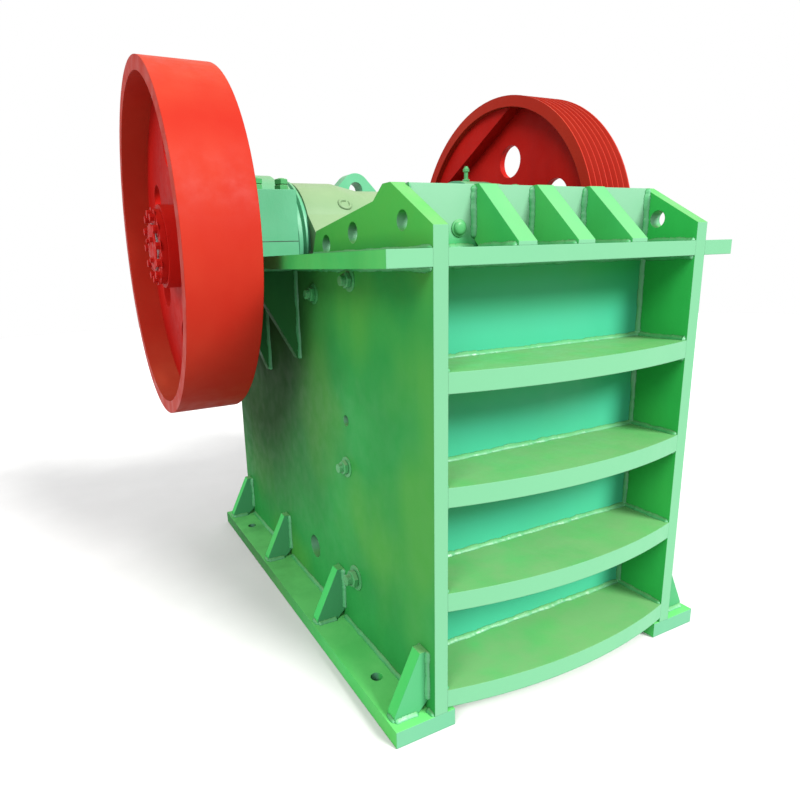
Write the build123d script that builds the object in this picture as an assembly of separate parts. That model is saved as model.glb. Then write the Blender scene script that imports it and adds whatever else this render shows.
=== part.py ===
from build123d import *
import os
from math import atan2, cos, radians, sin

# Single toggle jaw crusher: a welded plate frame with a ribbed front wall, a swing jaw hung on a
# shaft across the top, a plain flywheel on one end of the shaft and a grooved pulley on the other.
# X runs across the machine, Y from the ribbed front to the rear, Z up from the ground.
# The origin lies on the ground in the middle of the base.

# Frame
frame_width = 1130.0
frame_length = 2030.0
side_plate_thickness = 50.0
base_flange_thickness = 60.0
base_flange_overhang = 146.0
base_flange_lip = 30.0
top_flange_level = 1544.0
top_flange_thickness = 50.0
top_flange_overhang = 146.0

# Ear of the side plate above the top flange, set back from the front edge
ear_front_level = 1604.0
ear_peak_level = 1738.0
ear_peak_start = 225.0
ear_peak_end = 271.0
ear_step_inset = 333.0
ear_step_level = 1694.0
ear_tail_level = 1629.0
ear_tail_run = 45.0
ear_foot_gap = 234.0
ear_hole_radius = 35.0
ear_first_hole_radius = 30.0
ear_first_hole_inset = 160.0
ear_first_hole_drop = 74.0
ear_middle_hole_share = 0.594
ear_middle_hole_drop = 65.0
ear_last_hole_gap = 133.0
ear_last_hole_drop = 65.0

# Lower holes of the side plate
drift_hole_inset = 974.0
drift_hole_level = 252.0
drift_hole_radius = 52.0
spare_hole_inset = 593.0
spare_hole_level = 932.0
spare_hole_radius = 21.0

# Front wall and its ribs
wall_recess = 210.0
wall_thickness = 60.0
wall_top_level = 1736.0
rib_count = 4
rib_thickness = 64.0
rib_bulge = 62.0
lowest_rib_level = 110.0
gusset_thickness = 70.0
gusset_spacing = 235.0
gusset_toe = 12.0
gusset_head = 20.0
relief = 26.0

# Base gussets and bolt holes
base_gusset_count = 4
base_gusset_thickness = 45.0
base_gusset_height = 222.0
base_gusset_reach = 128.0
base_gusset_head = 30.0
base_gusset_toe = 20.0
base_gusset_start = 41.0
base_gusset_tail = 54.0
base_relief = 38.0
base_hole_radius = 22.0
base_hole_reach = 71.0
base_hole_inset = 268.0

# Shaft line
shaft_inset = 577.0
shaft_rise = 60.0
journal_radius = 110.0
wheel_seat_radius = 100.0
eccentric_radius = 140.0
eccentricity = 14.0
eccentric_inset = 5.0
shaft_end_recess = 22.0
fit_gap = 0.05
seat_gap = 0.3

# Bearing housings
housing_half_length = 384.0
housing_inset = 12.0
ledge_rise = 205.0
arch_radius = 305.0
pocket_radius = 165.0
cover_radius = 200.0
cover_thickness = 20.0
seat_depth = 171.0
seat_gusset_thickness = 45.0
seat_gusset_drop = 258.0
middle_seat_gusset_drop = 365.0

# Wheels
wheel_radius = 733.0
wheel_inset = 237.0
flywheel_width = 281.0
rim_thickness = 52.0
web_thickness = 34.0
hub_radius = 178.0
hub_recess = 56.0
counterweight_angle = 61.0
counterweight_depth = 133.0
counterweight_recess = 33.0
web_hole_count = 6
web_hole_angle = 30.0
web_hole_radius = 85.0
web_hole_circle = 416.0
groove_count = 7
groove_pitch = 35.5
groove_edge = 22.0
groove_depth = 28.0
groove_mouth = 31.0
lock_ring_radius = 160.0
lock_ring_thickness = 26.0

# Crushing chamber
chamber_floor = 400.0
fixed_plate_top = 1690.0
moving_plate_top = 1480.0
discharge_gap = 110.0
plate_backing = 45.0
tooth_height = 30.0
tooth_count = 9
tooth_crest_share = 0.30
cheek_thickness = 50.0
cheek_top = 1560.0
cheek_split = 850.0
cheek_joint = 4.0
cheek_lap = 70.0
side_clearance = 10.0

# Swing jaw
barrel_radius = 276.0
waist_drop = 31.0
waist_half_length = 80.0
barrel_end_length = 205.0
jaw_head_offset = 205.0
jaw_side_clearance = 22.0
jaw_end_ring_rise = 9.0
jaw_end_ring_thickness = 68.0
jaw_end_groove = 8.0
jaw_skin = 62.0
jaw_web_thickness = 46.0
jaw_web_count = 4
brow_angle = 65.0
brow_rise = 20.0
bore_clearance = 6.0
jaw_seat_depth = 300.0
lug_radius = 82.0
lug_hole_radius = 38.0
lug_thickness = 80.0
lug_foot_half_width = 118.0
lug_rise = 58.0
lug_share = 0.61

# Toggle and rear wall
rear_wall_inset = 315.0
rear_wall_thickness = 60.0
rear_wall_top = 1180.0
low_rear_rib_level = 300.0
middle_rear_rib_level = 640.0
high_rear_rib_level = 1080.0
rear_rib_thickness = 50.0
toggle_gap = 5.0
toggle_thickness = 70.0
toggle_inset = 45.0
toggle_rise = 180.0
adjust_block_depth = 200.0
adjust_block_height = 230.0
shim_depth = 60.0
guide_thickness = 45.0
rod_radius = 22.0
rod_level = 430.0
rod_tail = 330.0
spring_radius = 62.0
spring_length = 210.0
spring_seat_thickness = 24.0
spring_seat_margin = 18.0

overrun = 5.0

# Places worked out from the sizes above
half_width = frame_width / 2
inner_half = half_width - side_plate_thickness
front_y = -frame_length / 2
rear_y = frame_length / 2
wall_front_y = front_y + wall_recess
wall_rear_y = wall_front_y + wall_thickness
shaft_y = rear_y - shaft_inset
shaft_z = top_flange_level + shaft_rise
wheel_inner_x = half_width + wheel_inset
pulley_width = (groove_count - 1) * groove_pitch + 2 * groove_edge
tip_y = wall_rear_y + plate_backing + tooth_height
cheek_inner_x = inner_half - cheek_thickness
plate_half_width = cheek_inner_x - side_clearance
plate_total = plate_backing + tooth_height
jaw_foot_y = tip_y + discharge_gap + plate_total
jaw_head_y = shaft_y - barrel_radius - jaw_head_offset
slope = (jaw_head_y - jaw_foot_y) / (moving_plate_top - chamber_floor)
jaw_angle = atan2(slope, 1)
plate_back_shift = plate_total / cos(jaw_angle)
swing_jaw_half_width = inner_half - jaw_side_clearance - jaw_end_ring_thickness
waist_radius = barrel_radius - waist_drop
eccentric_half_length = swing_jaw_half_width - eccentric_inset
toggle_half_width = swing_jaw_half_width - toggle_inset
rear_wall_y = rear_y - rear_wall_inset
housing_inner_x = inner_half + housing_inset
seat_front_y = shaft_y - housing_half_length
seat_rear_y = shaft_y + housing_half_length
ear_foot_y = seat_front_y - ear_foot_gap
ear_tail_y = ear_foot_y - ear_tail_run
rim_inside = wheel_radius - max(rim_thickness, groove_depth + rim_thickness / 2)


def block(x_low, x_high, y_low, y_high, z_low, z_high):
    """A plate or bar between two corners."""
    size = Box(x_high - x_low, y_high - y_low, z_high - z_low)
    return Pos((x_low + x_high) / 2, (y_low + y_high) / 2, (z_low + z_high) / 2) * size


def across(points, x_low, x_high):
    """An outline in Y and Z made solid from one X to another."""
    wire = Polyline(*[(x_low, y, z) for y, z in points], close=True)
    return extrude(make_face(wire), amount=x_high - x_low, dir=(1, 0, 0))


def along(points, y_low, y_high):
    """An outline in X and Z made solid from one Y to another."""
    wire = Polyline(*[(x, y_low, z) for x, z in points], close=True)
    return extrude(make_face(wire), amount=y_high - y_low, dir=(0, 1, 0))


def rod_x(radius, x_low, x_high, y, z):
    """A round bar along X."""
    return Pos((x_low + x_high) / 2, y, z) * Rot(0, 90, 0) * Cylinder(radius, x_high - x_low)


def turned(points, y, z):
    """An outline of X and radius, turned about the line through y and z along X."""
    wire = Polyline(*[(x, 0, radius) for x, radius in points], close=True)
    return Pos(0, y, z) * revolve(make_face(wire), axis=Axis.X)


def mirrored(shape):
    """The same piece on the other side of the machine."""
    return mirror(shape, about=Plane.YZ)


def write(node, *solids):
    """Writes one node, with one or more solids that don't touch."""
    shape = solids[0] if len(solids) == 1 else Compound(children=list(solids))
    export_step(shape, "parts/" + node + ".step")


# Side plates, with the ear above the top flange and the round pocket under each housing
def side_plate():
    outline = [
        (front_y, base_flange_thickness),
        (front_y, ear_front_level),
        (front_y + ear_peak_start, ear_peak_level),
        (front_y + ear_peak_end, ear_peak_level),
        (front_y + ear_step_inset, ear_step_level),
        (ear_tail_y, ear_tail_level),
        (ear_foot_y, top_flange_level),
        (rear_y, top_flange_level),
        (rear_y, base_flange_thickness),
    ]
    plate = across(outline, inner_half, half_width)
    holes = [(front_y + drift_hole_inset, drift_hole_level, drift_hole_radius)]
    holes.append((front_y + spare_hole_inset, spare_hole_level, spare_hole_radius))
    first_y = front_y + ear_first_hole_inset
    last_y = ear_foot_y - ear_last_hole_gap
    middle_y = first_y + ear_middle_hole_share * (last_y - first_y)
    first_z = ear_edge_level(first_y) - ear_first_hole_drop
    holes.append((first_y, first_z, ear_first_hole_radius))
    holes.append((middle_y, ear_edge_level(middle_y) - ear_middle_hole_drop, ear_hole_radius))
    holes.append((last_y, ear_edge_level(last_y) - ear_last_hole_drop, ear_hole_radius))
    for y, z, radius in holes:
        plate -= rod_x(radius, inner_half - overrun, half_width + overrun, y, z)
    return plate - housing_pocket(inner_half, half_width)


def ear_edge_level(y):
    """Height of the sloping top edge of the ear."""
    peak_y = front_y + ear_peak_start
    step_y = front_y + ear_step_inset
    if y < peak_y:
        share = (y - front_y) / (peak_y - front_y)
        return ear_front_level + share * (ear_peak_level - ear_front_level)
    share = (y - step_y) / (ear_tail_y - step_y)
    return ear_step_level + share * (ear_tail_level - ear_step_level)


# Front wall, its bowed ribs, and the gussets above the top flange
def front_wall():
    return block(
        -inner_half, inner_half, wall_front_y, wall_rear_y, base_flange_thickness, wall_top_level
    )


def front_rib(level):
    bottom = level - rib_thickness / 2
    bow = ThreePointArc(
        (-inner_half, front_y, bottom),
        (0, front_y - rib_bulge, bottom),
        (inner_half, front_y, bottom),
    )
    back = Polyline(
        (inner_half, front_y, bottom),
        (inner_half, wall_front_y, bottom),
        (-inner_half, wall_front_y, bottom),
        (-inner_half, front_y, bottom),
    )
    return extrude(make_face(bow.edges() + back.edges()), amount=rib_thickness, dir=(0, 0, 1))


def front_ribs():
    top_level = top_flange_level - top_flange_thickness / 2
    pitch = (top_level - lowest_rib_level) / rib_count
    return [front_rib(lowest_rib_level + index * pitch) for index in range(rib_count)]


def upper_gusset(x):
    outline = [
        (front_y, top_flange_level),
        (front_y, top_flange_level + gusset_toe),
        (wall_front_y - gusset_head, wall_top_level),
        (wall_front_y, wall_top_level),
        (wall_front_y, top_flange_level + relief),
        (wall_front_y - relief, top_flange_level),
    ]
    return across(outline, x - gusset_thickness / 2, x + gusset_thickness / 2)


# Flanges
def top_flange_side():
    """The flange along one side, parted by the round pocket of the housing."""
    outer = half_width + top_flange_overhang
    low = top_flange_level - top_flange_thickness
    solids = []
    for y_low, y_high in ((front_y, shaft_y), (shaft_y, rear_y)):
        plate = block(half_width, outer, y_low, y_high, low, top_flange_level)
        solids.append(plate - housing_pocket(half_width, outer))
    return solids


def top_flange_front():
    return block(
        -inner_half,
        inner_half,
        front_y,
        wall_front_y,
        top_flange_level - top_flange_thickness,
        top_flange_level,
    )


def base_flange():
    plate = block(
        inner_half - base_flange_lip,
        half_width + base_flange_overhang,
        front_y,
        rear_y,
        0,
        base_flange_thickness,
    )
    for y in (front_y + base_hole_inset, rear_y - base_hole_inset):
        hole = Cylinder(base_hole_radius, base_flange_thickness + 2 * overrun)
        plate -= Pos(half_width + base_hole_reach, y, base_flange_thickness / 2) * hole
    return plate


def base_gusset(y):
    outline = [
        (half_width + base_relief, base_flange_thickness),
        (half_width + base_gusset_reach, base_flange_thickness),
        (half_width + base_gusset_reach, base_flange_thickness + base_gusset_toe),
        (half_width + base_gusset_head, base_flange_thickness + base_gusset_height),
        (half_width, base_flange_thickness + base_gusset_height),
        (half_width, base_flange_thickness + base_relief),
    ]
    return along(outline, y, y + base_gusset_thickness)


def base_gussets():
    first = front_y + base_gusset_start
    last = rear_y - base_gusset_tail - base_gusset_thickness
    step = (last - first) / (base_gusset_count - 1)
    return [base_gusset(first + index * step) for index in range(base_gusset_count)]


# Seat of the bearing housing on the outside of the side plate, and the gussets that carry it
def bearing_seat():
    outer = half_width + top_flange_overhang
    high = top_flange_level - top_flange_thickness
    seat = block(
        half_width, outer, seat_front_y, seat_rear_y, top_flange_level - seat_depth, high
    )
    return seat - housing_pocket(half_width, outer)


def housing_pocket(x_low, x_high):
    """The round room for the belly of a bearing base."""
    return rod_x(pocket_radius + seat_gap, x_low - overrun, x_high + overrun, shaft_y, shaft_z)


def seat_gusset(y, top, drop):
    reach = half_width + top_flange_overhang
    outline = [
        (half_width, top),
        (reach, top),
        (reach, top_flange_level - seat_depth - gusset_toe),
        (half_width + gusset_toe, top_flange_level - seat_depth - drop),
        (half_width, top_flange_level - seat_depth - drop),
    ]
    return along(outline, y, y + seat_gusset_thickness)


def seat_gussets():
    """Two beside the seat, up to the flange, and a longer one under its middle."""
    under_flange = top_flange_level - top_flange_thickness
    under_seat = top_flange_level - seat_depth
    middle_y = shaft_y - seat_gusset_thickness / 2
    return [
        seat_gusset(seat_front_y - seat_gusset_thickness, under_flange, seat_gusset_drop),
        seat_gusset(middle_y, under_seat, middle_seat_gusset_drop),
        seat_gusset(seat_rear_y, under_flange, seat_gusset_drop),
    ]


# Bearing housings: a base that drops into the round pocket of the frame, and an arched cap
def bearing_base():
    outer = half_width + top_flange_overhang
    base = block(
        housing_inner_x,
        outer,
        shaft_y - housing_half_length,
        shaft_y + housing_half_length,
        top_flange_level,
        shaft_z,
    )
    belly = rod_x(pocket_radius, housing_inner_x, outer, shaft_y, shaft_z)
    belly &= block(
        housing_inner_x, outer, shaft_y - pocket_radius, shaft_y + pocket_radius,
        shaft_z - pocket_radius, shaft_z,
    )
    return base + belly - shaft_bore(housing_inner_x, outer)


def shaft_bore(x_low, x_high):
    return rod_x(journal_radius + fit_gap, x_low - overrun, x_high + overrun, shaft_y, shaft_z)


def bearing_cap():
    outer = half_width + top_flange_overhang
    cap = block(
        housing_inner_x,
        outer,
        shaft_y - housing_half_length,
        shaft_y + housing_half_length,
        shaft_z,
        shaft_z + ledge_rise,
    )
    arch = rod_x(arch_radius, housing_inner_x, outer, shaft_y, shaft_z)
    arch &= block(
        housing_inner_x, outer, shaft_y - arch_radius, shaft_y + arch_radius,
        shaft_z, shaft_z + arch_radius,
    )
    return cap + arch - shaft_bore(housing_inner_x, outer)


def bearing_cover():
    low = half_width + top_flange_overhang
    high = low + cover_thickness
    bore = journal_radius + fit_gap
    outline = [(low, bore), (high, bore), (high, cover_radius), (low, cover_radius)]
    return turned(outline, shaft_y, shaft_z)


# Jaw plates with upright teeth
def toothed_outline(half, shift):
    """Half width and tooth phase give the outline across a jaw plate, teeth towards -Y."""
    pitch = 2 * half / tooth_count
    crest = tooth_crest_share * pitch
    points = [(-half, 0), (half, 0), (half, -plate_backing)]
    count = tooth_count if shift == 0 else tooth_count - 1
    start = half - pitch / 2 - shift * pitch
    for index in range(count):
        centre = start - index * pitch
        points.append((centre + pitch / 2 - crest / 4, -plate_backing))
        points.append((centre + crest / 2, -plate_total))
        points.append((centre - crest / 2, -plate_total))
        points.append((centre - pitch / 2 + crest / 4, -plate_backing))
    points.append((-half, -plate_backing))
    return points


def fixed_jaw_plate():
    height = fixed_plate_top - chamber_floor
    teeth = [(x, wall_rear_y - y) for x, y in toothed_outline(cheek_inner_x, 0)]
    wire = Polyline(*[(x, y, chamber_floor) for x, y in teeth], close=True)
    plate = extrude(make_face(wire), amount=height, dir=(0, 0, 1))
    for side in (-1, 1):
        low, high = sorted((side * cheek_inner_x, side * inner_half))
        plate += block(
            low, high, wall_rear_y, wall_rear_y + plate_backing, chamber_floor, fixed_plate_top
        )
    return plate


def moving_face_y(level):
    """Y of the back of the moving jaw plate at a height."""
    return jaw_foot_y + (level - chamber_floor) * slope


def moving_jaw_plate():
    plane = Plane(
        origin=(0, moving_face_y(chamber_floor), chamber_floor),
        x_dir=(1, 0, 0),
        z_dir=(0, sin(jaw_angle), cos(jaw_angle)),
    )
    outline = toothed_outline(plate_half_width, 0.5)
    face = make_face(Polyline(*outline, close=True))
    length = (moving_plate_top - chamber_floor) / cos(jaw_angle)
    return extrude(plane * face, amount=length, dir=tuple(plane.z_dir))


# Cheek plates on the inside of each side plate
def cheek_plates():
    front = wall_rear_y + plate_backing
    solids = []
    for low, high in ((chamber_floor, cheek_split - cheek_joint), (cheek_split, cheek_top)):
        outline = [
            (front, low),
            (front, high),
            (moving_face_y(high) - plate_back_shift + cheek_lap, high),
            (moving_face_y(low) - plate_back_shift + cheek_lap, low),
        ]
        solids.append(across(outline, cheek_inner_x, inner_half))
    return solids


# Swing jaw: a bored barrel, a sloping brow and a plated face, with a toe for the toggle
def swing_jaw():
    body = across(jaw_outline(), -swing_jaw_half_width, swing_jaw_half_width)
    body -= across(jaw_pocket(), -swing_jaw_half_width, swing_jaw_half_width)
    body += barrel()
    bore = eccentric_radius + eccentricity + bore_clearance
    reach = swing_jaw_half_width + overrun
    return body - rod_x(bore, -reach, reach, shaft_y, shaft_z)


def barrel():
    """The round body of the jaw, slimmer between its two ends."""
    half = swing_jaw_half_width
    shoulder = half - barrel_end_length
    outline = [
        (-half, 0),
        (-half, barrel_radius),
        (-shoulder, barrel_radius),
        (-waist_half_length, waist_radius),
        (waist_half_length, waist_radius),
        (shoulder, barrel_radius),
        (half, barrel_radius),
        (half, 0),
    ]
    return turned(outline, shaft_y, shaft_z)


def jaw_outline():
    """Side view of the whole jaw without the round of its barrel."""
    brow = radians(brow_angle)
    head_z = moving_plate_top + brow_rise
    seat_y, seat_z = jaw_seat_point()
    return [
        (moving_face_y(chamber_floor), chamber_floor),
        (moving_face_y(head_z), head_z),
        (shaft_y - barrel_radius * sin(brow), shaft_z + barrel_radius * cos(brow)),
        (shaft_y, shaft_z),
        (shaft_y + barrel_radius * cos(brow), shaft_z - barrel_radius * sin(brow)),
        (seat_y, seat_z + toggle_thickness),
        (seat_y, seat_z - toggle_thickness),
        (moving_face_y(chamber_floor) + jaw_skin, chamber_floor),
    ]


def jaw_pocket():
    """Side view of the hollow behind the face, between the toe and the barrel."""
    low = jaw_seat_point()[1] + toggle_thickness
    high = shaft_z - barrel_radius - jaw_skin
    rear = shaft_y + barrel_radius
    return [
        (moving_face_y(low) + jaw_skin, low),
        (moving_face_y(high) + jaw_skin, high),
        (rear, high),
        (rear, low),
    ]


def jaw_webs():
    """Upright webs that stiffen the hollow back of the jaw."""
    step = (2 * swing_jaw_half_width - jaw_web_thickness) / (jaw_web_count - 1)
    solids = []
    for index in range(jaw_web_count):
        left = -swing_jaw_half_width + index * step
        web = across(jaw_pocket(), left, left + jaw_web_thickness)
        web &= across(jaw_outline(), left, left + jaw_web_thickness)
        solids.append(web - barrel())
    return solids


def jaw_seat_point():
    """Middle of the toggle seat on the back of the swing jaw."""
    level = chamber_floor + plate_total + toggle_thickness
    return moving_face_y(level) + jaw_seat_depth - plate_total, level


def jaw_end_ring():
    """An end cover of the jaw, with a groove beside the barrel and one round its middle."""
    low, high = swing_jaw_half_width, swing_jaw_half_width + jaw_end_ring_thickness
    bore = journal_radius + fit_gap
    radius = barrel_radius + jaw_end_ring_rise
    inside = barrel_radius - jaw_end_groove
    middle = (low + high) / 2
    outline = [
        (low, bore),
        (high, bore),
        (high, inside),
        (high - jaw_end_groove, radius),
        (middle + jaw_end_groove, radius),
        (middle, inside),
        (middle - jaw_end_groove, radius),
        (low + 2 * jaw_end_groove, radius),
        (low + jaw_end_groove, inside),
        (low, inside),
    ]
    return turned(outline, shaft_y, shaft_z)


def lifting_lug():
    """An upright eye on the waist of the barrel, with a spreading foot."""
    y = shaft_y + lug_share * waist_radius
    eye_z = shaft_z + waist_radius + lug_rise - lug_hole_radius
    half = lug_thickness / 2
    side = lug_radius / 2 ** 0.5
    spread = lug_foot_half_width - side
    outline = [
        (-side, eye_z + side),
        (-lug_foot_half_width, eye_z + side - spread),
        (-lug_foot_half_width, shaft_z),
        (lug_foot_half_width, shaft_z),
        (lug_foot_half_width, eye_z + side - spread),
        (side, eye_z + side),
    ]
    foot = along(outline, y - half, y + half)
    head = Pos(0, y, eye_z) * Rot(90, 0, 0) * Cylinder(lug_radius, lug_thickness)
    hole = Pos(0, y, eye_z) * Rot(90, 0, 0) * Cylinder(lug_hole_radius, lug_thickness + overrun)
    return head + foot - hole - barrel()


# Shaft with its offset middle, and the two wheels
def eccentric_shaft():
    left_end = wheel_inner_x + flywheel_width - shaft_end_recess
    right_end = wheel_inner_x + pulley_width - shaft_end_recess
    outline = [
        (-left_end, 0),
        (-left_end, wheel_seat_radius),
        (-wheel_inner_x, wheel_seat_radius),
        (-wheel_inner_x, journal_radius),
        (wheel_inner_x, journal_radius),
        (wheel_inner_x, wheel_seat_radius),
        (right_end, wheel_seat_radius),
        (right_end, 0),
    ]
    shaft = turned(outline, shaft_y, shaft_z)
    return shaft + rod_x(
        eccentric_radius,
        -eccentric_half_length,
        eccentric_half_length,
        shaft_y,
        shaft_z + eccentricity,
    )


def wheel_rim(inner, width, tread):
    outline = [(inner, rim_inside)] + tread + [(inner + width, rim_inside)]
    return turned(outline, shaft_y, shaft_z)


def plain_tread(inner, width):
    return [(inner, wheel_radius), (inner + width, wheel_radius)]


def grooved_tread(inner, width):
    """V grooves side by side between two flat edges."""
    points = [(inner, wheel_radius)]
    for index in range(groove_count):
        centre = inner + groove_edge + index * groove_pitch
        points.append((centre - groove_mouth / 2, wheel_radius))
        points.append((centre, wheel_radius - groove_depth))
        points.append((centre + groove_mouth / 2, wheel_radius))
    points.append((inner + width, wheel_radius))
    return points


def wheel_web(inner, width):
    """The hub and a web halfway along it, with a ring of round holes."""
    web_low = inner + (width - web_thickness) / 2
    web_high = web_low + web_thickness
    bore = wheel_seat_radius + fit_gap
    hub_end = inner + width - hub_recess
    outline = [
        (inner, bore),
        (inner, hub_radius),
        (web_low, hub_radius),
        (web_low, rim_inside),
        (web_high, rim_inside),
        (web_high, hub_radius),
        (hub_end, hub_radius),
        (hub_end, bore),
    ]
    web = turned(outline, shaft_y, shaft_z)
    for index in range(web_hole_count):
        angle = radians(counterweight_angle + web_hole_angle + 360 * index / web_hole_count)
        y = shaft_y + web_hole_circle * cos(angle)
        z = shaft_z + web_hole_circle * sin(angle)
        web -= rod_x(web_hole_radius, inner, inner + width, y, z)
    return web


def wheel_counterweight(inner, width):
    """A segment cast into the inner recess, between a chord and the rim."""
    low = inner + counterweight_recess
    high = inner + (width - web_thickness) / 2
    chord = rim_inside - counterweight_depth
    drum = rod_x(rim_inside, low, high, 0, 0)
    segment = drum & block(low, high, -rim_inside, rim_inside, chord, rim_inside)
    return Pos(0, shaft_y, shaft_z) * Rot(counterweight_angle - 90, 0, 0) * segment


def lock_ring(width):
    low = wheel_inner_x + width - hub_recess
    high = low + lock_ring_thickness
    bore = wheel_seat_radius + fit_gap
    outline = [(low, bore), (high, bore), (high, lock_ring_radius), (low, lock_ring_radius)]
    return turned(outline, shaft_y, shaft_z)


# Rear wall, its ribs, and the toggle with its adjusting block between guides
def rear_wall():
    wall = block(
        -inner_half,
        inner_half,
        rear_wall_y,
        rear_wall_y + rear_wall_thickness,
        base_flange_thickness,
        rear_wall_top,
    )
    hole = Pos(0, rear_wall_y + rear_wall_thickness / 2, rod_level) * Rot(90, 0, 0) * Cylinder(
        rod_radius + fit_gap, rear_wall_thickness + 2 * overrun
    )
    return wall - hole


def rear_ribs():
    return [
        block(
            -inner_half,
            inner_half,
            rear_wall_y + rear_wall_thickness,
            rear_y,
            level - rear_rib_thickness / 2,
            level + rear_rib_thickness / 2,
        )
        for level in (low_rear_rib_level, middle_rear_rib_level, high_rear_rib_level)
    ]


def adjust_block_centre():
    seat_y, seat_z = jaw_seat_point()
    return rear_wall_y - shim_depth - adjust_block_depth / 2, seat_z + toggle_rise


def adjusting_block():
    y, z = adjust_block_centre()
    half = adjust_block_depth / 2
    return block(
        -inner_half + side_clearance,
        inner_half - side_clearance,
        y - half,
        y + half,
        z - adjust_block_height / 2,
        z + adjust_block_height / 2,
    )


def shim_pack():
    y, z = adjust_block_centre()
    return block(
        -toggle_half_width,
        toggle_half_width,
        rear_wall_y - shim_depth,
        rear_wall_y,
        z - adjust_block_height / 2,
        z + adjust_block_height / 2,
    )


def block_guides():
    y, z = adjust_block_centre()
    reach = y - adjust_block_depth / 2
    solids = []
    for side in (-1, 1):
        edge = z + side * adjust_block_height / 2
        low, high = sorted((edge, edge + side * guide_thickness))
        solids.append(block(-inner_half, inner_half, reach, rear_wall_y, low, high))
    return solids


def toggle_plate():
    seat_y, seat_z = jaw_seat_point()
    block_y, block_z = adjust_block_centre()
    front = seat_y + toggle_gap
    rear = block_y - adjust_block_depth / 2
    half = toggle_thickness / 2
    outline = [
        (front, seat_z - half),
        (front, seat_z + half),
        (rear, block_z + half),
        (rear, block_z - half),
    ]
    return across(outline, -toggle_half_width, toggle_half_width)


def tension_rod():
    seat_y = jaw_seat_point()[0]
    end = rear_y + rod_tail
    start = seat_y + toggle_gap
    bar = Cylinder(rod_radius, end - start)
    return Pos(0, (start + end) / 2, rod_level) * Rot(90, 0, 0) * bar


def collar_y(radius, y_low, y_high):
    """A ring on the tension rod."""
    outer = Cylinder(radius, y_high - y_low)
    inner = Cylinder(rod_radius + fit_gap, y_high - y_low + 2 * overrun)
    return Pos(0, (y_low + y_high) / 2, rod_level) * Rot(90, 0, 0) * (outer - inner)


def tension_spring():
    start = rear_wall_y + rear_wall_thickness
    return collar_y(spring_radius, start, start + spring_length)


def spring_seat():
    """A square plate under the nut of the tension rod."""
    start = rear_wall_y + rear_wall_thickness + spring_length
    half = spring_radius + spring_seat_margin
    plate = block(
        -half, half, start, start + spring_seat_thickness, rod_level - half, rod_level + half
    )
    hole = Cylinder(rod_radius + fit_gap, spring_seat_thickness + 2 * overrun)
    return plate - Pos(0, start + spring_seat_thickness / 2, rod_level) * Rot(90, 0, 0) * hole


def write_wheel(name, width, tread, side):
    """Writes the three parts of one wheel, with side turning it to its end of the shaft."""
    write(name + "_rim", side(wheel_rim(wheel_inner_x, width, tread)))
    write(name + "_web", side(wheel_web(wheel_inner_x, width)))
    write(name + "_counterweight", side(wheel_counterweight(wheel_inner_x, width)))


def write_all():
    os.makedirs("parts", exist_ok=True)
    pairs = {
        "side_plate": [side_plate()],
        "top_flange": top_flange_side(),
        "base_flange": [base_flange()],
        "base_gussets": base_gussets(),
        "seat_gussets": seat_gussets(),
        "bearing_base": [bearing_base()],
        "bearing_cap": [bearing_cap()],
        "cheek_plates": cheek_plates(),
    }
    for name, solids in pairs.items():
        write(name + "_right", *solids)
        write(name + "_left", *[mirrored(solid) for solid in solids])
    twins = {
        "bearing_seats": bearing_seat(),
        "bearing_covers": bearing_cover(),
        "jaw_end_rings": jaw_end_ring(),
    }
    for name, solid in twins.items():
        write(name, solid, mirrored(solid))
    write("front_wall", front_wall())
    write("front_ribs", *front_ribs())
    write("top_flange_front", top_flange_front())
    write("upper_gussets", *[upper_gusset(index * gusset_spacing) for index in (-1, 0, 1)])
    write("fixed_jaw_plate", fixed_jaw_plate())
    write("moving_jaw_plate", moving_jaw_plate())
    write("swing_jaw", swing_jaw())
    write("jaw_webs", *jaw_webs())
    write("lifting_lug", lifting_lug())
    write("eccentric_shaft", eccentric_shaft())
    plain = plain_tread(wheel_inner_x, flywheel_width)
    write_wheel("flywheel", flywheel_width, plain, mirrored)
    grooved = grooved_tread(wheel_inner_x, pulley_width)
    write_wheel("pulley", pulley_width, grooved, lambda shape: shape)
    write("wheel_lock_rings", mirrored(lock_ring(flywheel_width)), lock_ring(pulley_width))
    write("rear_wall", rear_wall())
    write("rear_ribs", *rear_ribs())
    write("adjusting_block", adjusting_block())
    write("shim_pack", shim_pack())
    write("block_guides", *block_guides())
    write("toggle_plate", toggle_plate())
    write("tension_rod", tension_rod())
    write("tension_spring", tension_spring())
    write("spring_seat", spring_seat())


write_all()
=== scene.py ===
import bpy
import bmesh
from math import ceil, cos, pi, radians, sin
from mathutils import Matrix, Vector, noise


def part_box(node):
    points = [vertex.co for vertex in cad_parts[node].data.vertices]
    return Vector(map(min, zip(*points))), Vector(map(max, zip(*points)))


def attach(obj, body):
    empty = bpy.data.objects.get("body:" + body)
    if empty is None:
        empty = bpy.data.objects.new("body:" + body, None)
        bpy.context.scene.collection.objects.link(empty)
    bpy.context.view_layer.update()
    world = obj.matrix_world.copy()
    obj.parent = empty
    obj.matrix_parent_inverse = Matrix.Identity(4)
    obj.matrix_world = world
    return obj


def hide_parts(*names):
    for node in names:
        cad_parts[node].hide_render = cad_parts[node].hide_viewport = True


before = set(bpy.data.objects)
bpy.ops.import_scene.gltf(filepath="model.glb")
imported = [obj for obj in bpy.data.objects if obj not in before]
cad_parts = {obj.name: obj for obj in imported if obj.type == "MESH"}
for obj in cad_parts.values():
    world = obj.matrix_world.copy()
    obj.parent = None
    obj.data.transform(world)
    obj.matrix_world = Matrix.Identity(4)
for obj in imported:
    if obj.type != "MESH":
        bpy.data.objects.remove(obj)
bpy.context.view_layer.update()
scene = bpy.context.scene

# Sizes are in metres. Angles are in degrees, but phases and the camera's turns are in radians.

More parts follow.
